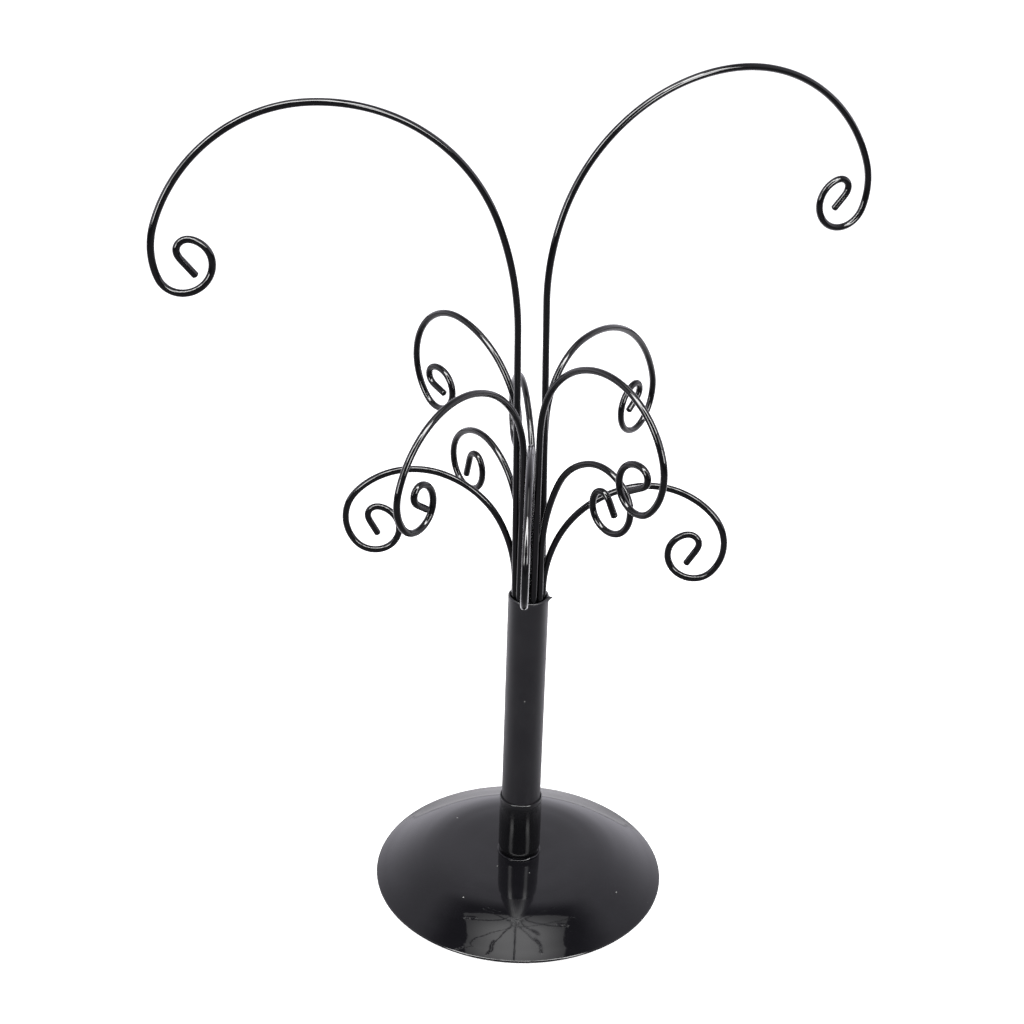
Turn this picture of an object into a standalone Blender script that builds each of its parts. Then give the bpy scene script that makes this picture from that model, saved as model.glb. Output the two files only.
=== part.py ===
"""Wire tree: twelve scrolled wire arms bundled in an upright tube on a round pressed base.

Metres, +Z up. The origin is on the tube's axis, at the face the tree stands on. -Y is the front.
"""
import math
from dataclasses import dataclass

import bpy

MM = 0.001
GAP = 0.3 * MM               # clearance between pieces that touch

# base dish: pressed sheet, near flat in the middle, sloping to a turned-in rim
BASE_RADIUS = 63.5 * MM
BASE_CROWN = 12.9 * MM       # height of the top face at the middle
BASE_SHEET = 1.3 * MM
BASE_HOLE = 6.8 * MM
RIM_FLANGE = 6.0 * MM        # width of the flange that is turned in under the rim

# foam pad under the rim
PAD_RADIUS = 60.5 * MM
PAD_THICK = 0.8 * MM

# socket that the tube stands in
SOCKET_RADIUS = 9.25 * MM
SOCKET_BORE = 8.8 * MM
SOCKET_TOP = 42.5 * MM
SOCKET_FLOOR = 18.0 * MM
SOCKET_FOOT = 8.2 * MM       # radius of the drawn-in foot
SOCKET_DRAW = 3.8 * MM       # height over which the foot draws in
SOCKET_DRAIN = 5.0 * MM      # radius of the hole through the floor
STAKE_RADIUS = 8.6 * MM      # spread end below the dish
STAKE_THICK = 1.2 * MM

WELD_WIDTH = 0.95 * MM
WELD_HEIGHT = 0.8 * MM

WASHER_THICK = 0.8 * MM

# upright tube and what it holds
TUBE_RADIUS = 8.5 * MM
TUBE_BORE = 7.55 * MM
TUBE_TOP = 143.5 * MM
CORE_RADIUS = 4.4 * MM
CORE_LENGTH = 35.0 * MM
CORE_DEPTH = 5.0 * MM        # how far the core's top is below the tube's mouth
STOP_THICK = 5.5 * MM

# wire arms
WIRE_RADIUS = 1.4 * MM
RING_RADIUS = 6.0 * MM        # ring on which the wires stand in the tube
LEG_START = 144.0 * MM       # height from which the legs are measured
WIRE_DEPTH = 44.0 * MM       # length of wire below that
TIP_RADIUS = 3.8 * MM        # tight bend before the tail, the same on every arm
FIRST_SLOT = 20.0            # degrees round the ring from +X
SLOT_STEP = 30.0

TURNED_STEPS = 48
LARGE_BEND_STEP = 13.0       # degrees of bend to one straight stretch of the wire's mesh
SMALL_BEND_STEP = 24.0
SMALL_BEND = 15.0 * MM       # bends tighter than this take the coarser step

# sweeps in degrees of the four bends of the arch, in order from the leg: one set to each tier
ARCH_SWEEPS = {
    "tall": (21, 67, 73, 38),
    "mid": (7, 74, 79, 65),
    "low": (26, 43, 68, 83),
}


@dataclass(frozen=True)
class Arm:
    """One wire arm, as it is bent: lengths in millimetres, angles in degrees."""

    name: str
    tier: str
    heading: float           # direction it points in, from +X towards +Y
    lean: float              # outward lean of the leg
    leg: float               # straight length above the tube
    arch: tuple              # radii of the four bends of the arch
    curl: tuple              # radius and sweep of the scroll
    tip: float               # sweep of the tight bend
    tail: float              # straight end


# in their order round the tube, one to each slot of the ring
ARMS = (
    Arm("arm_tall_right", "tall", 23, -1.4, 128.5, (97.5, 76.5, 64.5, 29.5), (10.3, 238), 145, 8),
    Arm("arm_mid_back_right", "mid", 54, 0.5, 71, (72, 28.5, 49.5, 18), (11, 215), 155, 8),
    Arm("arm_low_back", "low", 99, 0.5, 21, (76, 41, 30, 17), (10, 210), 130, 9),
    Arm("arm_low_back_left", "low", 128, 0.5, 3, (89, 30, 20.5, 13.5), (10, 175), 130, 10),
    Arm("arm_mid_back_left", "mid", 134, 1.5, 64, (74, 42.5, 23.5, 24.5), (9, 245), 140, 8),
    Arm("arm_low_left", "low", 181, 0.0, 4, (64, 43, 32.5, 17.5), (10, 220), 130, 8),
    Arm("arm_tall_left", "tall", 199, 1.2, 116.5, (130.5, 78, 58.5, 30.5), (10.2, 238), 140, 10),
    Arm("arm_mid_front_left", "mid", 234, 0.0, 58, (76, 42, 38.5, 17), (9.5, 205), 165, 8),
    Arm("arm_low_front", "low", 269, 0.0, 34, (63, 44, 49.5, 18.5), (11, 215), 130, 8),
    Arm("arm_mid_front_right", "mid", 310, 0.0, 72, (74, 37, 34.5, 23), (10, 240), 135, 9),
    Arm("arm_low_front_right", "low", 315, -0.5, 19, (84, 28.5, 18, 13), (9.5, 170), 120, 8),
    Arm("arm_low_right", "low", 350, 0.0, 3, (60, 49, 32, 19.5), (10, 215), 135, 9),
)

# colour, roughness and metallic value of each material
FINISHES = {
    "gloss_black": ((0.012, 0.012, 0.014), 0.12, 0.0),
    "satin_black": ((0.022, 0.022, 0.025), 0.38, 0.0),
    "wire_black": ((0.012, 0.012, 0.014), 0.2, 0.0),
    "bare_steel": ((0.45, 0.45, 0.46), 0.35, 1.0),
    "grey_nylon": ((0.35, 0.35, 0.34), 0.5, 0.0),
    "black_foam": ((0.03, 0.03, 0.03), 0.9, 0.0),
}


def clear_scene():
    """Remove every object that the file opened with."""
    for thing in list(bpy.data.objects):
        bpy.data.objects.remove(thing, do_unlink=True)


def new_collection(name):
    """Make a collection in the scene."""
    collection = bpy.data.collections.new(name)
    bpy.context.scene.collection.children.link(collection)
    return collection


def new_material(name, finish):
    """Make a Principled BSDF material from one entry of FINISHES."""
    color, roughness, metallic = FINISHES[finish]
    material = bpy.data.materials.new(name)
    material.use_nodes = True
    shader = material.node_tree.nodes["Principled BSDF"]
    shader.inputs["Base Color"].default_value = (*color, 1.0)
    shader.inputs["Roughness"].default_value = roughness
    shader.inputs["Metallic"].default_value = metallic
    return material


def finish_object(thing, collection, finish, parent):
    """Link an object, give it its own material and hang it on its parent empty."""
    collection.objects.link(thing)
    thing.data.materials.append(new_material(thing.name + "_paint", finish))
    thing.parent = parent
    return thing


def turned(name, profile, collection, finish, parent, closed=True):
    """Turn a profile of (radius, height) points about Z.

    The profile runs down the outer side. A closed one goes back up the bore to its first point;
    an open one starts and ends on the axis.
    """
    count = len(profile)
    edges = [(i, i + 1) for i in range(count - 1)]
    if closed:
        edges.append((count - 1, 0))
    mesh = bpy.data.meshes.new(name)
    mesh.from_pydata([(radius, 0.0, height) for radius, height in profile], edges, [])
    thing = bpy.data.objects.new(name, mesh)
    screw = thing.modifiers.new("Turn", "SCREW")
    screw.axis = "Z"
    screw.angle = math.tau
    screw.steps = TURNED_STEPS
    screw.render_steps = TURNED_STEPS
    screw.use_merge_vertices = True
    screw.merge_threshold = 0.00001
    screw.use_smooth_shade = True
    return finish_object(thing, collection, finish, parent)


def disc(name, radius, low, high, collection, finish, parent):
    """Turn a plain solid disc or rod."""
    profile = [(0.0, high), (radius, high), (radius, low), (0.0, low)]
    return turned(name, profile, collection, finish, parent, closed=False)


def dish_profile():
    """Return the dish's section: top face out to the rim, flange, and back under the sheet."""
    slope = [(20.0, 12.7), (33.0, 12.1), (41.5, 10.9), (48.0, 9.0), (54.0, 6.6), (59.5, 4.0)]
    slope = [(radius * MM, height * MM) for radius, height in slope]
    rim_low = PAD_THICK + GAP
    top = [(BASE_HOLE, BASE_CROWN)] + slope
    rim = [
        (BASE_RADIUS - 0.8 * MM, rim_low + 1.3 * MM),
        (BASE_RADIUS, rim_low + 0.7 * MM),
        (BASE_RADIUS - 0.3 * MM, rim_low),
        (BASE_RADIUS - RIM_FLANGE, rim_low),
        (BASE_RADIUS - RIM_FLANGE, rim_low + 0.7 * MM),
    ]
    under = [(radius, height - BASE_SHEET) for radius, height in reversed(top)]
    return top + rim + under


def build_base(collection, parent):
    """Build the dish with its pad, the socket staked through it and the weld round its foot."""
    turned("base_dish", dish_profile(), collection, "gloss_black", parent)
    disc("base_pad", PAD_RADIUS, 0.0, PAD_THICK, collection, "black_foam", parent)

    foot = BASE_CROWN + GAP
    tenon = BASE_HOLE - GAP
    stake_top = BASE_CROWN - BASE_SHEET - GAP
    stake_low = stake_top - STAKE_THICK
    socket = [
        (SOCKET_RADIUS, SOCKET_TOP),
        (SOCKET_RADIUS, foot + SOCKET_DRAW),
        (SOCKET_FOOT, foot),
        (tenon, foot),
        (tenon, stake_top),
        (STAKE_RADIUS, stake_top),
        (STAKE_RADIUS, stake_low),
        (SOCKET_DRAIN, stake_low),
        (SOCKET_DRAIN, SOCKET_FLOOR),
        (SOCKET_BORE, SOCKET_FLOOR),
        (SOCKET_BORE, SOCKET_TOP),
    ]
    turned("base_socket", socket, collection, "gloss_black", parent)

    draw_slope = (SOCKET_RADIUS - SOCKET_FOOT) / SOCKET_DRAW
    bead_in = SOCKET_FOOT + GAP * 1.3
    weld = [
        (bead_in + draw_slope * WELD_HEIGHT, foot + WELD_HEIGHT),
        (bead_in + WELD_WIDTH * 0.7, foot + WELD_HEIGHT * 0.75),
        (bead_in + WELD_WIDTH, foot),
        (bead_in, foot),
    ]
    turned("socket_weld", weld, collection, "gloss_black", parent)


def build_washer(collection, parent):
    """Build the thrust washer on the socket's floor, which turns with the tube."""
    low = SOCKET_FLOOR + GAP
    high = low + WASHER_THICK
    inner = SOCKET_DRAIN + GAP
    outer = SOCKET_BORE - GAP
    profile = [(outer, high), (outer, low), (inner, low), (inner, high)]
    turned("thrust_washer", profile, collection, "grey_nylon", parent)


def build_tube(collection, parent):
    """Build the upright tube, the core inside the ring of wires and the stop below them."""
    low = SOCKET_FLOOR + WASHER_THICK + 2 * GAP
    profile = [(TUBE_RADIUS, TUBE_TOP), (TUBE_RADIUS, low), (TUBE_BORE, low), (TUBE_BORE, TUBE_TOP)]
    turned("upright_tube", profile, collection, "satin_black", parent)

    core_top = TUBE_TOP - CORE_DEPTH
    disc("bundle_core", CORE_RADIUS, core_top - CORE_LENGTH, core_top, collection, "bare_steel", parent)
    stop_top = LEG_START - WIRE_DEPTH - GAP
    disc("bundle_stop", TUBE_BORE - GAP, stop_top - STOP_THICK, stop_top, collection, "grey_nylon", parent)


def arm_path(arm):
    """Return the wire's centre line in its own plane, as (reach, height) points.

    The wire stands in the tube, leaves its mouth at the lean, and then takes each bend in turn,
    always to the same side, so the arch runs on into the scroll.
    """
    heading = math.radians(arm.lean)
    reach, height = 0.0, LEG_START
    path = [(reach, LEG_START - WIRE_DEPTH), (reach, height)]

    def straight(length):
        nonlocal reach, height
        reach += length * math.sin(heading)
        height += length * math.cos(heading)
        path.append((reach, height))

    def bend(radius, sweep):
        nonlocal reach, height, heading
        step = SMALL_BEND_STEP if radius < SMALL_BEND else LARGE_BEND_STEP
        count = max(1, round(sweep / step))
        turn = math.radians(sweep) / count
        for _ in range(count):
            after = heading + turn
            reach += radius * (math.cos(heading) - math.cos(after))
            height += radius * (math.sin(after) - math.sin(heading))
            heading = after
            path.append((reach, height))

    straight(arm.leg * MM)
    for radius, sweep in zip(arm.arch, ARCH_SWEEPS[arm.tier]):
        bend(radius * MM, sweep)
    bend(arm.curl[0] * MM, arm.curl[1])
    bend(TIP_RADIUS, arm.tip)
    straight(arm.tail * MM)
    return path


def build_arm(arm, slot, collection, parent):
    """Sweep one arm's wire along its path and stand it in its slot of the ring."""
    path = arm_path(arm)
    curve = bpy.data.curves.new(arm.name, "CURVE")
    curve.dimensions = "3D"
    curve.bevel_depth = WIRE_RADIUS
    curve.bevel_resolution = 2
    curve.use_fill_caps = True
    spline = curve.splines.new("POLY")
    spline.points.add(len(path) - 1)
    for point, (reach, height) in zip(spline.points, path):
        point.co = (reach, 0.0, height, 1.0)
    thing = bpy.data.objects.new(arm.name, curve)
    angle = math.radians(FIRST_SLOT + SLOT_STEP * slot)
    thing.location = (RING_RADIUS * math.cos(angle), RING_RADIUS * math.sin(angle), 0.0)
    thing.rotation_euler = (0.0, 0.0, math.radians(arm.heading))
    return finish_object(thing, collection, "wire_black", parent)


def new_axis(name, collection):
    """Make an empty on the tube's axis, where the pieces that turn together hang."""
    axis = bpy.data.objects.new(name, None)
    collection.objects.link(axis)
    return axis


def main():
    """Build the whole tree."""
    clear_scene()
    tree = new_collection("wire_tree")
    base_axis = new_axis("base_axis", tree)
    washer_axis = new_axis("washer_axis", tree)
    post_axis = new_axis("post_axis", tree)
    build_base(tree, base_axis)
    build_washer(tree, washer_axis)
    build_tube(tree, post_axis)
    for slot, arm in enumerate(ARMS):
        build_arm(arm, slot, tree, post_axis)


main()
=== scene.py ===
"""Looks of a wire tree: twelve scrolled wire arms in an upright tube on a glossy dished base.

Everything is in metres, +Z up, with the tube's axis on Z and the front towards -Y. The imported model
is loaded first; each visible node is then replaced by a fine surface of the same size, and the
pieces hidden in the tube keep their shape and get a material.
"""

import logging
import math
from dataclasses import dataclass
from enum import Enum
from typing import Callable, Optional, Sequence

import bpy
import numpy as np
from mathutils import Matrix, Vector

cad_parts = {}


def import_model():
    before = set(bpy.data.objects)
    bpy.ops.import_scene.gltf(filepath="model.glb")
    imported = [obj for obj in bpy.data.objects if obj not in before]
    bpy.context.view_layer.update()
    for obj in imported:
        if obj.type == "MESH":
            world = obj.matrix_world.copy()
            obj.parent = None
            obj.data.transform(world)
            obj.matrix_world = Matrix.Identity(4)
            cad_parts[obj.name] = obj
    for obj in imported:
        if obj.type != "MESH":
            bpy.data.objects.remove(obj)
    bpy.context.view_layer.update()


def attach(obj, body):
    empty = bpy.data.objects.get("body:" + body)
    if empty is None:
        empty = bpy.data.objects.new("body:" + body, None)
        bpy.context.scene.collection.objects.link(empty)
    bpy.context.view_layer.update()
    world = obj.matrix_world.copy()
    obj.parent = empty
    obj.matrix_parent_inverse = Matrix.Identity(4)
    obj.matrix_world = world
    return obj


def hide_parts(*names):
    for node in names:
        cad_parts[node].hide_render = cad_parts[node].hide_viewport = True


LOG = logging.getLogger("wire_tree")
MM = 0.001
TAU = 2.0 * math.pi
DUST_COLOR = (0.23, 0.23, 0.22, 1.0)
PAINT_IOR = 1.5


class Body(Enum):
    """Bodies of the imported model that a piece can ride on."""

    BASE = "base"
    WASHER = "washer"
    POST = "post"


class Tier(Enum):
    """Height tiers of the arms, each with the sweeps in degrees of its arch's four bends."""

    TALL = (21, 67, 73, 38)
    MID = (7, 74, 79, 65)
    LOW = (26, 43, 68, 83)


# ---------------------------------------------------------------------------------------------
# surfaces
# ---------------------------------------------------------------------------------------------


def grid_faces(rows: int, columns: int, wrap_rows: bool = False) -> np.ndarray:
    """Return the quads of a grid whose columns close on themselves.

    Vertex (i, j) has the index i * columns + j. A quad joins rows i and i + 1 and columns j and
    j + 1, with the last column joined to the first, and with wrap_rows the last row to the first.

    Args:
        rows: number of rings.
        columns: number of vertices in a ring.
        wrap_rows: whether the last ring joins the first one.

    Returns:
        An array of shape (faces, 4).
    """
    last = rows if wrap_rows else rows - 1
    i, j = np.meshgrid(np.arange(last), np.arange(columns), indexing="ij")
    after_i = (i + 1) % rows
    after_j = (j + 1) % columns
    quads = np.stack([i * columns + j, i * columns + after_j,
                      after_i * columns + after_j, after_i * columns + j], axis=-1)
    return quads.reshape(-1, 4)


def make_mesh(name: str, points: np.ndarray, faces: np.ndarray,
              fans: Sequence[np.ndarray] = ()) -> bpy.types.Object:
    """Put a grid of points and its faces into a new smooth-shaded object at the origin.

    Args:
        name: the object's name.
        points: vertices, shape (n, 3), in world metres.
        faces: quads, shape (m, 4).
        fans: arrays of triangles, shape (k, 3), that close the poles.

    Returns:
        The new object, linked to the scene.
    """
    polygons = faces.tolist()
    for fan in fans:
        polygons.extend(fan.tolist())
    mesh = bpy.data.meshes.new(name)
    mesh.from_pydata(points.tolist(), [], polygons)
    mesh.validate()
    mesh.shade_smooth()
    thing = bpy.data.objects.new(name, mesh)
    bpy.context.scene.collection.objects.link(thing)
    return thing


def revolve(name: str, profile: np.ndarray, segments: int, closed: bool,
            swell: Optional[Callable[[np.ndarray, np.ndarray, np.ndarray], np.ndarray]] = None,
            ) -> bpy.types.Object:
    """Turn a profile about Z.

    The point (radius, height) of the profile goes to (radius cos a, radius sin a, height) for each
    angle a. The profile runs down the outer side, so that faces point outwards. An open profile
    starts and ends on the axis and is closed there with fans.

    Args:
        name: the object's name.
        profile: points (radius, height), shape (n, 2).
        segments: number of steps round the axis.
        closed: whether the profile is a loop clear of the axis.
        swell: gives an offset in height from radius, angle and height, for a hand-made surface.

    Returns:
        The new object.
    """
    angles = np.arange(segments) * TAU / segments
    rings = profile if closed else profile[1:-1]
    radius = rings[:, 0][:, None] * np.ones_like(angles)[None, :]
    height = rings[:, 1][:, None] * np.ones_like(angles)[None, :]
    if swell is not None:
        height = height + swell(radius, angles[None, :], height)
    points = np.stack([radius * np.cos(angles), radius * np.sin(angles), height], axis=-1)
    points = points.reshape(-1, 3)
    faces = grid_faces(len(rings), segments, wrap_rows=closed)[:, ::-1]
    if closed:
        return make_mesh(name, points, faces)
    top = len(points)
    points = np.vstack([points, [[0.0, 0.0, profile[0, 1]], [0.0, 0.0, profile[-1, 1]]]])
    around = np.arange(segments)
    after = (around + 1) % segments
    first = np.stack([np.full(segments, top), around, after], axis=-1)
    base = (len(rings) - 1) * segments
    last = np.stack([np.full(segments, top + 1), base + after, base + around], axis=-1)
    return make_mesh(name, points, faces, (first, last))


def smooth_profile(knots: Sequence[tuple], step: float) -> np.ndarray:
    """Draw a soft curve through knots.

    Each stretch between two knots is a cubic Hermite curve whose end slopes are the mean slopes of
    the neighbouring stretches, so the curve passes through every knot without a corner.

    Args:
        knots: points (radius, height) in metres.
        step: greatest distance between points of the result, in metres.

    Returns:
        Points of the curve, shape (n, 2).
    """
    points = np.asarray(knots, float)
    along = np.r_[0.0, np.cumsum(np.hypot(*np.diff(points, axis=0).T))]
    slope = np.gradient(points, along, axis=0)
    at = np.linspace(0.0, along[-1], max(2, int(along[-1] / step) + 1))
    k = np.clip(np.searchsorted(along, at, side="right") - 1, 0, len(points) - 2)
    width = (along[k + 1] - along[k])[:, None]
    t = ((at - along[k]) / (along[k + 1] - along[k]))[:, None]
    return ((1 + 2 * t) * (1 - t) ** 2 * points[k] + t * (1 - t) ** 2 * width * slope[k]
            + t * t * (3 - 2 * t) * points[k + 1] + t * t * (t - 1) * width * slope[k + 1])


def arc(centre: tuple, radius: float, start: float, end: float, count: int) -> np.ndarray:
    """Return points on a circular arc: centre + radius * (cos a, sin a).

    Args:
        centre: the arc's middle.
        radius: its radius.
        start: first angle in degrees.
        end: last angle in degrees.
        count: number of steps.

    Returns:
        Points, shape (count + 1, 2).
    """
    angle = np.radians(np.linspace(start, end, count + 1))
    return np.stack([centre[0] + radius * np.cos(angle), centre[1] + radius * np.sin(angle)], axis=-1)


# ---------------------------------------------------------------------------------------------
# materials
# ---------------------------------------------------------------------------------------------


class NodeBuilder:
    """Short calls for adding and joining shader nodes in one tree."""

    def __init__(self, tree: bpy.types.NodeTree) -> None:
        """Keep the tree that nodes are added to."""
        self.tree = tree

    def add(self, kind: str, **settings: object) -> bpy.types.Node:
        """Add a node and set its properties.

        Args:
            kind: the node's type name.
            **settings: properties to set on it.

        Returns:
            The node.
        """
        node = self.tree.nodes.new(kind)
        for name, value in settings.items():
            setattr(node, name, value)
        return node

    def link(self, source: bpy.types.NodeSocket, target: bpy.types.NodeSocket) -> None:
        """Join an output to an input."""
        self.tree.links.new(source, target)

    def put(self, target: bpy.types.NodeSocket, value: object) -> None:
        """Join a socket or set a plain value."""
        if isinstance(value, bpy.types.NodeSocket):
            self.link(value, target)
        else:
            target.default_value = value

    def math(self, operation: str, *values: object, clamp: bool = False) -> bpy.types.NodeSocket:
        """Add a Math node over the values and return its output."""
        node = self.add("ShaderNodeMath", operation=operation, use_clamp=clamp)
        for socket, value in zip(node.inputs, values):
            self.put(socket, value)
        return node.outputs[0]

    def ramp(self, value: object, low: float, high: float, to_low: float = 0.0,
             to_high: float = 1.0) -> bpy.types.NodeSocket:
        """Map a value smoothly from low..high to to_low..to_high."""
        node = self.add("ShaderNodeMapRange", interpolation_type="SMOOTHSTEP")
        self.put(node.inputs["Value"], value)
        node.inputs["From Min"].default_value = low
        node.inputs["From Max"].default_value = high
        node.inputs["To Min"].default_value = to_low
        node.inputs["To Max"].default_value = to_high
        return node.outputs["Result"]

    def noise(self, vector: object, scale: float, detail: float = 2.0,
              roughness: float = 0.5) -> bpy.types.NodeSocket:
        """Add a Noise texture over a vector and return its value."""
        node = self.add("ShaderNodeTexNoise")
        self.put(node.inputs["Vector"], vector)
        node.inputs["Scale"].default_value = scale
        node.inputs["Detail"].default_value = detail
        node.inputs["Roughness"].default_value = roughness
        return node.outputs["Fac"]

    def blend(self, factor: object, first: object, second: object) -> bpy.types.NodeSocket:
        """Mix two colours and return the result."""
        node = self.add("ShaderNodeMix", data_type="RGBA")
        self.put(node.inputs["Factor"], factor)
        self.put(node.inputs[6], first)
        self.put(node.inputs[7], second)
        return node.outputs[2]


def new_group(name: str, inputs: dict, outputs: Sequence[str]) -> tuple:
    """Start a shader node group.

    Args:
        name: the group's name.
        inputs: name to default value; a tuple makes a vector input.
        outputs: names of value outputs.

    Returns:
        The group, a builder for it, its input node and its output node.
    """
    group = bpy.data.node_groups.new(name, "ShaderNodeTree")
    for label, value in inputs.items():
        kind = "NodeSocketVector" if isinstance(value, tuple) else "NodeSocketFloat"
        socket = group.interface.new_socket(label, in_out="INPUT", socket_type=kind)
        socket.default_value = value
    for label in outputs:
        group.interface.new_socket(label, in_out="OUTPUT", socket_type="NodeSocketFloat")
    build = NodeBuilder(group)
    return group, build, build.add("NodeGroupInput"), build.add("NodeGroupOutput")


class PaintEffects:
    """Node groups that every painted finish uses, built once."""

    def __init__(self) -> None:
        """Build the groups."""
        self.peel = self._peel()
        self.haze = self._haze()
        self.specks = self._specks()

    @staticmethod
    def _peel() -> bpy.types.NodeTree:
        """Build the unevenness of sprayed paint: long waves with a finer skin on them."""
        group, build, source, sink = new_group(
            "paint_peel", {"Vector": (0.0, 0.0, 0.0), "Wave": 0.6, "Skin": 0.4}, ["Height"])
        vector = source.outputs["Vector"]
        wave = build.math("MULTIPLY", build.noise(vector, 170.0, 1.5), source.outputs["Wave"])
        skin = build.math("MULTIPLY", build.noise(vector, 900.0, 2.0), source.outputs["Skin"])
        build.link(build.math("ADD", wave, skin), sink.inputs["Height"])
        return group

    @staticmethod
    def _haze() -> bpy.types.NodeTree:
        """Build the cloudy wipe marks and dust film that change the gloss."""
        group, build, source, sink = new_group(
            "gloss_haze", {"Vector": (0.0, 0.0, 0.0), "Low": 0.08, "High": 0.2}, ["Roughness", "Mask"])
        vector = source.outputs["Vector"]
        cloud = build.ramp(build.noise(vector, 38.0, 4.0, 0.62), 0.42, 0.72)
        fine = build.ramp(build.noise(vector, 420.0, 3.0, 0.6), 0.5, 0.8)
        mask = build.math("ADD", build.math("MULTIPLY", cloud, 0.7), build.math("MULTIPLY", fine, 0.3))
        spread = build.math("SUBTRACT", source.outputs["High"], source.outputs["Low"])
        rough = build.math("ADD", source.outputs["Low"], build.math("MULTIPLY", mask, spread))
        build.link(rough, sink.inputs["Roughness"])
        build.link(mask, sink.inputs["Mask"])
        return group

    @staticmethod
    def _specks() -> bpy.types.NodeTree:
        """Build a mask of sparse dust grains: the middles of scattered cells, few of them kept."""
        group, build, source, sink = new_group(
            "dust_specks", {"Vector": (0.0, 0.0, 0.0), "Density": 0.1}, ["Mask"])
        cells = build.add("ShaderNodeTexVoronoi", feature="F1")
        build.link(source.outputs["Vector"], cells.inputs["Vector"])
        cells.inputs["Scale"].default_value = 210.0
        grain = build.ramp(cells.outputs["Distance"], 0.06, 0.1, 1.0, 0.0)
        pick = build.add("ShaderNodeSeparateColor")
        build.link(cells.outputs["Color"], pick.inputs["Color"])
        kept = build.math("LESS_THAN", pick.outputs["Red"], source.outputs["Density"])
        build.link(build.math("MULTIPLY", grain, kept), sink.inputs["Mask"])
        return group


@dataclass(frozen=True)
class Paint:
    """A black paint: its colour, gloss, unevenness and dust."""

    name: str
    slot: str
    color: tuple = (0.0045, 0.0043, 0.0055)
    rub_color: tuple = (0.012, 0.0118, 0.014)
    gloss: tuple = (0.07, 0.17)
    wave: float = 0.6
    skin: float = 0.25
    bump: float = 0.25
    depth: float = 0.02 * MM
    dust: float = 0.06
    streak: float = 0.0

    def build(self, effects: PaintEffects) -> bpy.types.Material:
        """Make the material.

        Args:
            effects: the shared node groups.

        Returns:
            The material.
        """
        material = bpy.data.materials.new(self.name)
        material.use_nodes = True
        build = NodeBuilder(material.node_tree)
        shader = material.node_tree.nodes["Principled BSDF"]
        place = build.add("ShaderNodeTexCoord").outputs["Object"]

        haze = build.add("ShaderNodeGroup", node_tree=effects.haze)
        build.link(place, haze.inputs["Vector"])
        haze.inputs["Low"].default_value = self.gloss[0]
        haze.inputs["High"].default_value = self.gloss[1]

        specks = build.add("ShaderNodeGroup", node_tree=effects.specks)
        build.link(place, specks.inputs["Vector"])
        specks.inputs["Density"].default_value = self.dust

        peel = build.add("ShaderNodeGroup", node_tree=effects.peel)
        build.link(place, peel.inputs["Vector"])
        peel.inputs["Wave"].default_value = self.wave
        peel.inputs["Skin"].default_value = self.skin

        rubbed = build.blend(build.math("MULTIPLY", haze.outputs["Mask"], 0.35),
                             (*self.color, 1.0), (*self.rub_color, 1.0))
        dusty = build.blend(build.math("MULTIPLY", specks.outputs["Mask"], 0.55),
                            rubbed, DUST_COLOR)
        build.link(dusty, shader.inputs["Base Color"])

        rough = build.math("ADD", haze.outputs["Roughness"],
                           build.math("MULTIPLY", specks.outputs["Mask"], 0.5), clamp=True)
        height = build.math("ADD", peel.outputs["Height"],
                            build.math("MULTIPLY", specks.outputs["Mask"], 1.5))
        if self.streak > 0.0:
            drawn = build.add("ShaderNodeMapping")
            build.link(place, drawn.inputs["Vector"])
            drawn.inputs["Scale"].default_value = (1.0, 1.0, 0.03)
            lines = build.noise(drawn.outputs["Vector"], 2600.0, 3.0, 0.6)
            swing = build.math("MULTIPLY", build.math("SUBTRACT", lines, 0.5), self.streak)
            rough = build.math("ADD", rough, swing, clamp=True)
            height = build.math("ADD", height, build.math("MULTIPLY", lines, self.streak * 2.0))
        build.link(rough, shader.inputs["Roughness"])

        bump = build.add("ShaderNodeBump")
        bump.inputs["Strength"].default_value = self.bump
        bump.inputs["Distance"].default_value = self.depth
        build.link(height, bump.inputs["Height"])
        build.link(bump.outputs["Normal"], shader.inputs["Normal"])

        shader.inputs["IOR"].default_value = PAINT_IOR
        return material


@dataclass(frozen=True)
class Plain:
    """An uncoated material: foam, nylon or bare steel, with its grain."""

    name: str
    slot: str
    color: tuple
    dark: tuple
    rough: tuple
    grain: float
    metallic: float = 0.0
    bump: float = 0.3
    depth: float = 0.05 * MM

    def build(self) -> bpy.types.Material:
        """Make the material: a grain of light and dark, with roughness and bump from it."""
        material = bpy.data.materials.new(self.name)
        material.use_nodes = True
        build = NodeBuilder(material.node_tree)
        shader = material.node_tree.nodes["Principled BSDF"]
        place = build.add("ShaderNodeTexCoord").outputs["Object"]
        grain = build.noise(place, self.grain, 4.0, 0.6)
        tone = build.ramp(grain, 0.3, 0.7)
        build.link(build.blend(tone, (*self.dark, 1.0), (*self.color, 1.0)), shader.inputs["Base Color"])
        build.link(build.ramp(grain, 0.3, 0.7, *self.rough), shader.inputs["Roughness"])
        shader.inputs["Metallic"].default_value = self.metallic
        bump = build.add("ShaderNodeBump")
        bump.inputs["Strength"].default_value = self.bump
        bump.inputs["Distance"].default_value = self.depth
        build.link(grain, bump.inputs["Height"])
        build.link(bump.outputs["Normal"], shader.inputs["Normal"])
        return material


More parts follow.
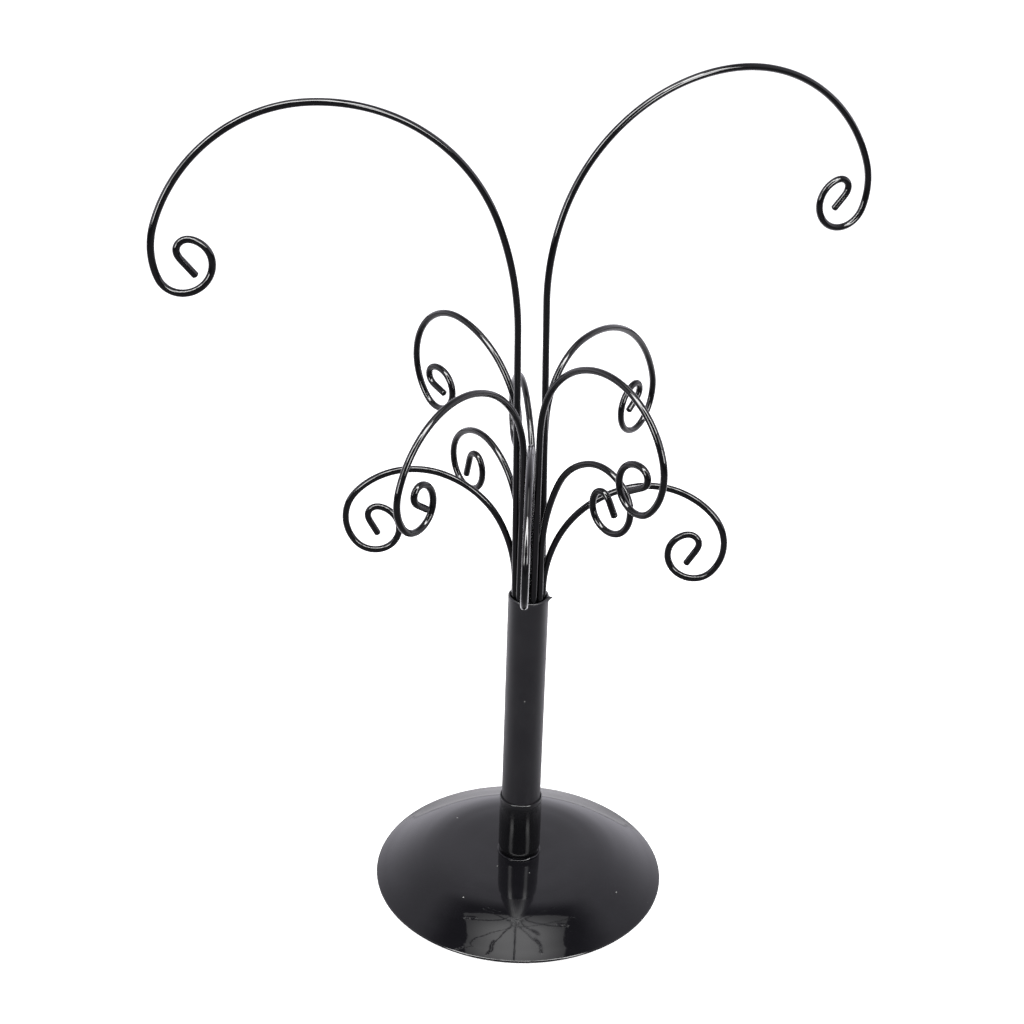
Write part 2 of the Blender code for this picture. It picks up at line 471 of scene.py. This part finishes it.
BASE_ENAMEL = Paint("base_enamel", "base_enamel", color=(0.003, 0.0029, 0.0036),
                    rub_color=(0.008, 0.0079, 0.0095), gloss=(0.04, 0.1), wave=0.8, bump=0.35,
                    depth=0.035 * MM)
SOCKET_ENAMEL = Paint("socket_enamel", "socket_enamel", color=(0.003, 0.003, 0.0034),
                      rub_color=(0.006, 0.006, 0.007), gloss=(0.17, 0.25), dust=0.02)
WELD_ENAMEL = Paint("weld_enamel", "weld_enamel", gloss=(0.18, 0.3), wave=1.5, bump=0.5, dust=0.02)
TUBE_SATIN = Paint("tube_satin", "tube_paint", color=(0.0065, 0.0063, 0.0076),
                   rub_color=(0.011, 0.011, 0.0122), gloss=(0.36, 0.46), bump=0.3, skin=0.8,
                   dust=0.03, streak=0.05)
ARM_DIP = Paint("arm_dip", "arm_paint", color=(0.0018, 0.0018, 0.0021),
                rub_color=(0.0032, 0.0032, 0.0036), gloss=(0.05, 0.1), wave=1.0, bump=0.15,
                depth=0.01 * MM, dust=0.01)
PAD_FOAM = Plain("pad_foam", "pad_foam", (0.035, 0.035, 0.035), (0.012, 0.012, 0.012), (0.85, 0.97),
                 1800.0, bump=0.6, depth=0.2 * MM)
WASHER_NYLON = Plain("washer_nylon", "washer_nylon", (0.42, 0.42, 0.4), (0.3, 0.3, 0.29), (0.4, 0.55),
                     260.0)
STOP_NYLON = Plain("stop_nylon", "stop_nylon", (0.42, 0.42, 0.4), (0.3, 0.3, 0.29), (0.4, 0.55), 260.0)
CORE_STEEL = Plain("core_steel", "core_steel", (0.5, 0.5, 0.51), (0.3, 0.29, 0.28), (0.28, 0.45), 700.0,
                   metallic=1.0)


def dress_piece(piece: bpy.types.Object, material: bpy.types.Material, body: Body, node: str) -> None:
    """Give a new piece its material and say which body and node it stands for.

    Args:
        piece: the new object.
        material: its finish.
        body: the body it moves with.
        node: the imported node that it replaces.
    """
    piece.data.materials.clear()
    piece.data.materials.append(material)
    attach(piece, body.value)
    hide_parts(node)
    LOG.info("%s: %d faces, replaces %s", piece.name, len(piece.data.polygons), node)


def dress_node(node: str, material: bpy.types.Material) -> None:
    """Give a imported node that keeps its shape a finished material."""
    thing = bpy.data.objects[node]
    thing.data.materials.clear()
    thing.data.materials.append(material)
    LOG.info("%s keeps its shape", node)


# ---------------------------------------------------------------------------------------------
# sub-assemblies
# ---------------------------------------------------------------------------------------------


@dataclass
class DishBase:
    """The pressed dish, its pad, the socket and the weld round the socket's foot."""

    radius: float = 63.5 * MM
    crown: float = 12.9 * MM
    sheet: float = 1.3 * MM
    hole: float = 6.8 * MM
    flange: float = 6.0 * MM
    pad_radius: float = 60.5 * MM
    pad_thick: float = 0.8 * MM
    gap: float = 0.3 * MM
    socket_radius: float = 9.25 * MM
    socket_bore: float = 8.8 * MM
    socket_top: float = 42.5 * MM
    socket_floor: float = 18.0 * MM
    socket_foot: float = 8.2 * MM
    socket_draw: float = 3.8 * MM
    socket_drain: float = 5.0 * MM
    stake: float = 8.6 * MM
    segments: int = 288
    slope: tuple = ((20.0, 12.75), (32.0, 12.35), (38.0, 11.75), (42.0, 10.95), (46.0, 9.75),
                    (50.0, 8.3), (54.0, 6.6), (59.5, 4.0))

    def _top_line(self) -> np.ndarray:
        """Return the dish's top face from the hole to the start of the rim."""
        knots = [(self.hole, self.crown)]
        knots += [(radius * MM, height * MM) for radius, height in self.slope]
        return smooth_profile(knots, 0.6 * MM)

    def _swell(self, radius: np.ndarray, angle: np.ndarray, height: np.ndarray) -> np.ndarray:
        """Return the pressing's unevenness.

        Two slow waves round the dish, at most 0.06 mm high, grow from nothing at the hole and
        fade out again before the rim.

        Args:
            radius: each point's distance from the axis.
            angle: its angle round the axis.
            height: its height, which the waves don't depend on.

        Returns:
            Offsets in height.
        """
        share = np.clip((radius - self.hole) / (self.radius - self.hole), 0.0, 1.0)
        window = np.sin(math.pi * share) ** 2
        wave = np.sin(3.0 * angle + 0.7 + 4.0 * share) + 0.6 * np.sin(5.0 * angle - 1.9 - 6.0 * share)
        return 0.04 * MM * window * wave

    def dish(self) -> bpy.types.Object:
        """Build the dish: top face, rolled rim, turned-in flange and underside."""
        low = self.pad_thick + self.gap
        top = self._top_line()
        bead = 0.65 * MM
        centre = (self.radius - bead, low + bead)
        rim = arc(centre, bead, 64.0, -90.0, 18)
        flange = np.array([(self.radius - self.flange, low), (self.radius - self.flange, low + 0.7 * MM)])
        under = top[::-1] - np.array([0.0, self.sheet])
        profile = np.vstack([top, rim, flange, under])
        return revolve("dish_surface", profile, self.segments, True, self._swell)

    def pad(self) -> bpy.types.Object:
        """Build the foam pad: a disc with softly rounded edges."""
        round_over = 0.3 * MM
        side = self.pad_radius - round_over
        rim = np.vstack([arc((side, self.pad_thick - round_over), round_over, 90, 0, 5),
                         arc((side, round_over), round_over, 0, -90, 5)])
        flat_top = [(0.0, self.pad_thick), (side * 0.5, self.pad_thick)]
        flat_low = [(side * 0.5, 0.0), (0.0, 0.0)]
        return revolve("pad_surface", np.vstack([flat_top, rim, flat_low]), 160, False)

    def socket(self) -> bpy.types.Object:
        """Build the socket: a thin tube with a drawn-in foot, staked under the dish."""
        foot = self.crown + self.gap
        tenon = self.hole - self.gap
        stake_top = self.crown - self.sheet - self.gap
        lip = 0.06 * MM
        collar = 0.35 * MM
        edge = arc((self.socket_bore + lip, self.socket_top - lip), lip, 180.0, 25.0, 6)
        fall = np.linspace(0.0, 1.0, 9)[1:]
        start = edge[-1]
        turned_in = np.stack([start[0] + (self.socket_radius - start[0]) * np.sin(fall * math.pi / 2.0),
                              start[1] - collar * (1.0 - np.cos(fall * math.pi / 2.0))], axis=-1)
        mouth = np.vstack([edge, turned_in])
        outside = np.stack([np.full(12, self.socket_radius),
                            np.linspace(mouth[-1, 1], foot + self.socket_draw, 13)[1:]], axis=-1)
        share = np.linspace(0.0, 1.0, 12)[1:]
        soft = share * share * (3.0 - 2.0 * share)
        draw = np.stack([self.socket_radius + (self.socket_foot - self.socket_radius) * soft,
                         foot + self.socket_draw * (1.0 - share)], axis=-1)
        below = np.array([(tenon, foot), (tenon, stake_top), (self.stake, stake_top),
                          (self.stake, stake_top - 0.9 * MM), (self.stake - 0.3 * MM, stake_top - 1.2 * MM),
                          (self.socket_drain, stake_top - 1.2 * MM), (self.socket_drain, self.socket_floor),
                          (self.socket_bore, self.socket_floor)])
        profile = np.vstack([mouth, outside, draw, below])
        return revolve("socket_surface", profile, 128, True)

    def weld(self) -> bpy.types.Object:
        """Build the weld bead: a low ring whose height ripples where the torch stepped round."""
        foot = self.crown + self.gap
        inner = self.socket_foot + 0.39 * MM
        crest = 0.78 * MM
        half = np.linspace(0.0, math.pi, 11)
        width = 0.93 * MM
        section = np.stack([inner + width * 0.5 * (1.0 + 0.28 * np.sin(half)) - width * 0.5 * np.cos(half),
                            foot + crest * np.sin(half)], axis=-1)

        def ripple(radius: np.ndarray, angle: np.ndarray, height: np.ndarray) -> np.ndarray:
            """Lower the crest to about a quarter, unevenly, save for a drop left at the front's right."""
            swell = np.sin(2.0 * angle + 0.9) + 0.7 * np.sin(5.0 * angle - 0.4) + 0.4 * np.sin(9.0 * angle)
            drop = np.exp(-((angle - math.radians(305.0)) / math.radians(14.0)) ** 2)
            return -(height - foot) * (0.75 + 0.05 * swell) * (1.0 - drop)

        return revolve("weld_surface", section, 208, True, ripple)

    def build(self, effects: PaintEffects) -> None:
        """Build and dress the four pieces."""
        enamel = BASE_ENAMEL.build(effects)
        dress_piece(self.dish(), enamel, Body.BASE, "base_dish")
        dress_piece(self.pad(), PAD_FOAM.build(), Body.BASE, "base_pad")
        dress_piece(self.socket(), SOCKET_ENAMEL.build(effects), Body.BASE, "base_socket")
        dress_piece(self.weld(), WELD_ENAMEL.build(effects), Body.BASE, "socket_weld")


@dataclass
class UprightTube:
    """The upright tube, with a rough-cut mouth and a burr on its rim."""

    radius: float = 8.5 * MM
    bore: float = 7.55 * MM
    low: float = 19.4 * MM
    top: float = 143.5 * MM
    burr_angle: float = -14.0        # degrees from +X
    burr_width: float = 7.0          # degrees
    burr_reach: float = 2.3 * MM
    burr_fall: float = 1.8 * MM      # height over which the burr and the rough cut fade out
    burr_lift: float = 0.35 * MM
    cut_wander: float = 0.1 * MM
    segments: int = 240
    rows: int = 90

    def tube(self) -> bpy.types.Object:
        """Build the tube.

        The outer wall goes down from the mouth, in rings, and the bore comes back up. Near the
        mouth a narrow bump in the angle pushes the rim outwards, which is the burr, and the mouth's
        height wanders by a tenth of a millimetre.
        """
        lip = (self.radius - self.bore) / 2.0
        mouth = arc((self.bore + lip, self.top - lip), lip, 180.0, 0.0, 8)
        outside = np.stack([np.full(self.rows, self.radius),
                            np.linspace(self.top - lip, self.low + lip, self.rows + 1)[1:]], axis=-1)
        foot = arc((self.bore + lip, self.low + lip), lip, 0.0, -180.0, 8)[1:]
        profile = np.vstack([mouth, outside, foot])
        angle = np.arange(self.segments) * TAU / self.segments
        radius = profile[:, 0][:, None] * np.ones_like(angle)
        height = profile[:, 1][:, None] * np.ones_like(angle)
        near = np.clip((height - (self.top - self.burr_fall)) / self.burr_fall, 0.0, 1.0) ** 2
        turn = np.angle(np.exp(1j * (angle - math.radians(self.burr_angle))))
        bump = np.exp(-(turn / math.radians(self.burr_width)) ** 2)
        outer = radius > self.bore + lip * 0.8
        radius = radius + self.burr_reach * near * bump * outer
        wander = np.sin(2.0 * angle + 0.4) + 0.5 * np.sin(7.0 * angle)
        height = height + near * (self.cut_wander * wander + self.burr_lift * bump)
        points = np.stack([radius * np.cos(angle), radius * np.sin(angle), height], axis=-1)
        faces = grid_faces(len(profile), self.segments, wrap_rows=True)[:, ::-1]
        return make_mesh("tube_surface", points.reshape(-1, 3), faces)

    def build(self, effects: PaintEffects) -> None:
        """Build the tube and dress it and what it hides."""
        dress_piece(self.tube(), TUBE_SATIN.build(effects), Body.POST, "upright_tube")
        dress_node("bundle_core", CORE_STEEL.build())
        dress_node("bundle_stop", STOP_NYLON.build())
        dress_node("thrust_washer", WASHER_NYLON.build())


@dataclass(frozen=True)
class Arm:
    """One wire arm as it is bent: lengths in millimetres, angles in degrees."""

    node: str
    tier: Tier
    heading: float
    lean: float
    leg: float
    arch: tuple
    curl: tuple
    tip: float
    tail: float


@dataclass
class WireBundle:
    """The twelve wire arms, which stand in a ring in the tube."""

    wire: float = 1.4 * MM
    ring: float = 6.0 * MM
    leg_start: float = 144.0 * MM
    depth: float = 44.0 * MM
    tip_radius: float = 3.8
    first_slot: float = 20.0
    slot_step: float = 30.0
    step: float = 0.4 * MM
    sides: int = 24
    soften: float = 2.4 * MM
    dome: float = 0.7 * MM      # length of the rounding at each end
    pole: float = 0.2 * MM      # how far the end's middle stands out
    arms: tuple = (
        Arm("arm_tall_right", Tier.TALL, 23, -1.4, 128.5, (97.5, 76.5, 64.5, 29.5), (10.3, 238), 145, 8),
        Arm("arm_mid_back_right", Tier.MID, 54, 0.5, 71, (72, 28.5, 49.5, 18), (11, 215), 155, 8),
        Arm("arm_low_back", Tier.LOW, 99, 0.5, 21, (76, 41, 30, 17), (10, 210), 130, 9),
        Arm("arm_low_back_left", Tier.LOW, 128, 0.5, 3, (89, 30, 20.5, 13.5), (10, 175), 130, 10),
        Arm("arm_mid_back_left", Tier.MID, 134, 1.5, 64, (74, 42.5, 23.5, 24.5), (9, 245), 140, 8),
        Arm("arm_low_left", Tier.LOW, 181, 0.0, 4, (64, 43, 32.5, 17.5), (10, 220), 130, 8),
        Arm("arm_tall_left", Tier.TALL, 199, 1.2, 116.5, (130.5, 78, 58.5, 30.5), (10.2, 238), 140, 10),
        Arm("arm_mid_front_left", Tier.MID, 234, 0.0, 58, (76, 42, 38.5, 17), (9.5, 205), 165, 8),
        Arm("arm_low_front", Tier.LOW, 269, 0.0, 34, (63, 44, 49.5, 18.5), (11, 215), 130, 8),
        Arm("arm_mid_front_right", Tier.MID, 310, 0.0, 72, (74, 37, 34.5, 23), (10, 240), 135, 9),
        Arm("arm_low_front_right", Tier.LOW, 315, -0.5, 19, (84, 28.5, 18, 13), (9.5, 170), 120, 8),
        Arm("arm_low_right", Tier.LOW, 350, 0.0, 3, (60, 49, 32, 19.5), (10, 215), 135, 9),
    )

    def _lean_along(self, arm: Arm) -> tuple:
        """Return distances along the wire and the wire's lean from upright at each of them.

        The lean is flat on the straight stretches and grows evenly through each bend, by the
        distance over the bend's radius. It is then averaged over a short window, because wire
        never passes from straight to bent at once.

        Args:
            arm: the arm.

        Returns:
            Distances and leans, one each for every point of the wire.
        """
        lean = math.radians(arm.lean)
        stretches = [(self.depth, 0.0, 0.0), (arm.leg * MM, lean, 0.0)]
        bends = list(zip(arm.arch, arm.tier.value)) + [arm.curl, (self.tip_radius, arm.tip)]
        for radius, sweep in bends:
            stretches.append((radius * MM * math.radians(sweep), lean, math.radians(sweep)))
            lean += math.radians(sweep)
        stretches.append((arm.tail * MM, lean, 0.0))
        ends = np.cumsum([length for length, _, _ in stretches])
        count = int(ends[-1] / self.step) + 1
        at = np.linspace(0.0, ends[-1], count)
        knots = np.r_[0.0, np.repeat(ends[:-1], 2), ends[-1]]
        knots[2::2] += 1e-9
        values = np.ravel([(start, start + turn) for _, start, turn in stretches])
        leans = np.interp(at, knots, values)
        window = max(1, int(self.soften / (at[1] - at[0])))
        padded = np.pad(leans, window, mode="edge")
        kernel = np.ones(2 * window + 1) / (2 * window + 1)
        return at, np.convolve(padded, kernel, mode="valid")

    def path(self, arm: Arm, slot: int) -> tuple:
        """Return the wire's centre line and the directions of its plane.

        The line is the running sum of small steps at the lean in the arm's upright plane, which
        stands at the heading through the arm's slot of the ring.

        Args:
            arm: the arm.
            slot: its place in the ring, counted from the first slot.

        Returns:
            Distances along the wire, points, leans, and the plane's outward and sideways directions.
        """
        at, lean = self._lean_along(arm)
        stretch = np.diff(at)
        middle = (lean[1:] + lean[:-1]) / 2.0
        reach = np.r_[0.0, np.cumsum(stretch * np.sin(middle))]
        height = self.leg_start - self.depth + np.r_[0.0, np.cumsum(stretch * np.cos(middle))]
        heading = math.radians(arm.heading)
        place = math.radians(self.first_slot + self.slot_step * slot)
        outward = np.array([math.cos(heading), math.sin(heading), 0.0])
        foot = np.array([self.ring * math.cos(place), self.ring * math.sin(place), 0.0])
        line = foot + reach[:, None] * outward + height[:, None] * np.array([0.0, 0.0, 1.0])
        sideways = np.array([-math.sin(heading), math.cos(heading), 0.0])
        return at, line, lean, outward, sideways

    def surface(self, arm: Arm, slot: int) -> bpy.types.Object:
        """Sweep the wire's round section along its path.

        Each ring stands across the line: its axes are the plane's sideways direction and the normal
        of the line in the plane. The radius wanders by one part in sixty, as dipped paint does, and
        both ends close in a low dome.

        Args:
            arm: the arm.
            slot: its place in the ring.

        Returns:
            The new object.
        """
        at, line, lean, outward, sideways = self.path(arm, slot)
        up = np.array([0.0, 0.0, 1.0])
        normal = np.cos(lean)[:, None] * outward - np.sin(lean)[:, None] * up
        total = at[-1]
        wander = np.sin(at / (9.0 * MM) + slot) + 0.6 * np.sin(at / (3.7 * MM) + 2.0 * slot)
        radius = self.wire * (1.0 + 0.01 * wander)
        ends = np.minimum(at, total - at)
        share = np.clip(1.0 - ends / self.dome, 0.0, 1.0)
        radius = radius * np.sqrt(1.0 - 0.75 * share ** 2)
        around = np.arange(self.sides) * TAU / self.sides
        ring = (np.cos(around)[None, :, None] * normal[:, None, :]
                + np.sin(around)[None, :, None] * sideways[None, None, :])
        points = line[:, None, :] + radius[:, None, None] * ring
        rows = len(line)
        flat = points.reshape(-1, 3)
        faces = grid_faces(rows, self.sides)
        tangent_low = line[0] - line[1]
        tangent_high = line[-1] - line[-2]
        poles = [line[0] + self.pole * tangent_low / np.linalg.norm(tangent_low),
                 line[-1] + self.pole * tangent_high / np.linalg.norm(tangent_high)]
        flat = np.vstack([flat, poles])
        spoke = np.arange(self.sides)
        after = (spoke + 1) % self.sides
        count = rows * self.sides
        low = np.stack([np.full(self.sides, count), after, spoke], axis=-1)
        base = (rows - 1) * self.sides
        high = np.stack([np.full(self.sides, count + 1), base + spoke, base + after], axis=-1)
        return make_mesh(arm.node + "_wire", flat, faces, (low, high))

    def build(self, effects: PaintEffects) -> None:
        """Build and dress every arm."""
        dip = ARM_DIP.build(effects)
        for slot, arm in enumerate(self.arms):
            dress_piece(self.surface(arm, slot), dip, Body.POST, arm.node)


# ---------------------------------------------------------------------------------------------
# studio
# ---------------------------------------------------------------------------------------------


@dataclass(frozen=True)
class SoftBox:
    """A rectangular studio light that looks at a point."""

    name: str
    place: tuple
    aim: tuple
    size: tuple
    power: float
    fade: float = 0.0      # share of its strength that is lost towards its edges

    def build(self) -> None:
        """Make the light, unseen by the camera itself, dimmer towards its edges if it fades."""
        light = bpy.data.lights.new(self.name, "AREA")
        light.shape = "RECTANGLE"
        light.size, light.size_y = self.size
        light.energy = self.power
        thing = bpy.data.objects.new(self.name, light)
        thing.location = self.place
        direction = Vector(self.aim) - Vector(self.place)
        thing.rotation_euler = direction.to_track_quat("-Z", "Y").to_euler()
        thing.visible_camera = False
        bpy.context.scene.collection.objects.link(thing)
        if self.fade > 0.0:
            light.use_nodes = True
            build = NodeBuilder(light.node_tree)
            across = build.add("ShaderNodeVectorMath", operation="DISTANCE")
            build.link(build.add("ShaderNodeNewGeometry").outputs["Parametric"], across.inputs[0])
            across.inputs[1].default_value = (0.5, 0.5, 0.0)
            glow = light.node_tree.nodes["Emission"]
            build.link(build.ramp(across.outputs["Value"], 0.1, 0.6, 1.0, 1.0 - self.fade),
                       glow.inputs["Strength"])


@dataclass
class Studio:
    """Camera, floor, surroundings and lights."""

    eye: tuple = (-8.0 * MM, -686.1 * MM, 531.3 * MM)
    aim: tuple = (-8.0 * MM, 0.0, 181.7 * MM)
    roll: float = 1.87
    lens: float = 66.53
    floor_size: float = 40.0
    floor_glow: float = 0.88
    bounce_front: tuple = (0.07, 0.068, 0.075)
    bounce_back: tuple = (0.72, 0.71, 0.74)
    crown_squares: tuple = ((-100.0, 0.8), (-75.0, 0.4), (-50.0, 1.0), (-25.0, 1.0), (0.0, 1.0),
                            (25.0, 1.0), (50.0, 1.0), (75.0, 0.4), (100.0, 0.8))      # degrees, share
    crown_reach: float = 1.1
    crown_spread: float = 42.0      # degrees off the line of sight
    crown_rise: float = 27.0      # degrees that the line of sight looks down
    crown_size: tuple = (0.3, 0.3)
    crown_power: float = 6.4
    overhead: SoftBox = SoftBox("overhead_box", (0.0, 0.04, 1.7), (0.0, 0.04, 0.0), (1.1, 0.95), 8.5, 0.75)

    def camera(self) -> None:
        """Set up the camera: level to its aim, then rolled about its own line of sight."""
        data = bpy.data.cameras.new("camera")
        data.lens = self.lens
        data.sensor_width = 36.0
        data.clip_start = 0.01
        thing = bpy.data.objects.new("camera", data)
        ahead = (Vector(self.aim) - Vector(self.eye)).normalized()
        right = ahead.cross(Vector((0.0, 0.0, 1.0))).normalized()
        above = right.cross(ahead)
        roll = math.radians(self.roll)
        rolled_right = right * math.cos(roll) + above * math.sin(roll)
        rolled_above = above * math.cos(roll) - right * math.sin(roll)
        turn = Matrix((rolled_right, rolled_above, -ahead)).transposed()
        thing.matrix_world = Matrix.Translation(self.eye) @ turn.to_4x4()
        bpy.context.scene.collection.objects.link(thing)
        bpy.context.scene.camera = thing

    def floor(self) -> None:
        """Lay a plain pale floor, white to look at, that sends little light up in front of the tree."""
        half = self.floor_size / 2.0
        mesh = bpy.data.meshes.new("floor")
        mesh.from_pydata([(-half, -half, 0.0), (half, -half, 0.0), (half, half, 0.0), (-half, half, 0.0)],
                         [], [(0, 1, 2, 3)])
        thing = bpy.data.objects.new("floor", mesh)
        material = bpy.data.materials.new("pale_floor")
        material.use_nodes = True
        build = NodeBuilder(material.node_tree)
        seen = material.node_tree.nodes["Principled BSDF"]
        seen.inputs["Base Color"].default_value = (0.5, 0.5, 0.5, 1.0)
        seen.inputs["Roughness"].default_value = 0.9
        seen.inputs["Specular IOR Level"].default_value = 0.0
        seen.inputs["Emission Color"].default_value = (1.0, 1.0, 1.0, 1.0)
        seen.inputs["Emission Strength"].default_value = self.floor_glow
        ways = build.add("ShaderNodeSeparateXYZ")
        build.link(build.add("ShaderNodeTexCoord").outputs["Object"], ways.inputs["Vector"])
        behind = build.ramp(ways.outputs["Y"], -0.12, 0.25)
        bounced = build.add("ShaderNodeBsdfDiffuse")
        build.link(build.blend(behind, (*self.bounce_front, 1.0), (*self.bounce_back, 1.0)),
                   bounced.inputs["Color"])
        choose = build.add("ShaderNodeMixShader")
        build.link(build.add("ShaderNodeLightPath").outputs["Is Camera Ray"], choose.inputs[0])
        build.link(bounced.outputs[0], choose.inputs[1])
        build.link(seen.outputs[0], choose.inputs[2])
        build.link(choose.outputs[0], material.node_tree.nodes["Material Output"].inputs["Surface"])
        mesh.materials.append(material)
        bpy.context.scene.collection.objects.link(thing)

    def light_crown(self) -> None:
        """Hang squares edge to edge in a crown round the line of sight, over its top and sides.

        With v the way back to the eye, u upwards across it and x to the right, the square at the
        angle a from the top is at reach * (v cos spread + (x sin a + u cos a) * sin spread). None of
        them is far enough back for the dish to mirror it.
        """
        rise, spread = math.radians(self.crown_rise), math.radians(self.crown_spread)
        back = Vector((0.0, -math.cos(rise), math.sin(rise)))
        upward = Vector((0.0, math.sin(rise), math.cos(rise)))
        middle = Vector((0.0, 0.0, 0.22))
        for index, (angle, share) in enumerate(self.crown_squares):
            turn = math.radians(angle)
            across = Vector((math.sin(turn), 0.0, 0.0)) + upward * math.cos(turn)
            away = back * math.cos(spread) + across * math.sin(spread)
            SoftBox("crown_%d" % index, tuple(middle + away * self.crown_reach), tuple(middle),
                    self.crown_size, self.crown_power * share).build()

    def surroundings(self) -> None:
        """Light the room: white round and behind the tree, dim at the camera's side and overhead."""
        world = bpy.data.worlds.new("studio")
        bpy.context.scene.world = world
        world.use_nodes = True
        build = NodeBuilder(world.node_tree)
        background = world.node_tree.nodes["Background"]
        ways = build.add("ShaderNodeSeparateXYZ")
        build.link(build.add("ShaderNodeTexCoord").outputs["Generated"], ways.inputs["Vector"])
        front = build.ramp(ways.outputs["Y"], -0.75, 0.0, 0.1, 1.0)
        rise = build.ramp(ways.outputs["Z"], 0.05, 0.78, 1.6, 0.55)
        above = build.ramp(ways.outputs["Z"], 0.78, 0.92, 1.0, 0.03)
        room = build.math("MULTIPLY", build.math("MULTIPLY", front, rise), above)
        seen = build.add("ShaderNodeLightPath").outputs["Is Camera Ray"]
        level = build.add("ShaderNodeMix", data_type="FLOAT")
        build.link(seen, level.inputs["Factor"])
        build.link(room, level.inputs[2])
        level.inputs[3].default_value = 1.0
        build.link(level.outputs[0], background.inputs["Strength"])
        build.link(build.blend(seen, (0.93, 0.91, 1.0, 1.0), (1.0, 1.0, 1.0, 1.0)),
                   background.inputs["Color"])

    def build(self) -> None:
        """Set up the whole studio."""
        self.camera()
        self.floor()
        self.surroundings()
        self.overhead.build()
        self.light_crown()
        bpy.context.scene.view_settings.view_transform = "Standard"


def main() -> None:
    logging.basicConfig(level=logging.INFO, format="%(name)s: %(message)s")
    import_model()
    Studio().build()
    effects = PaintEffects()
    DishBase().build(effects)
    UprightTube().build(effects)
    WireBundle().build(effects)


if __name__ == "__main__":
    main()
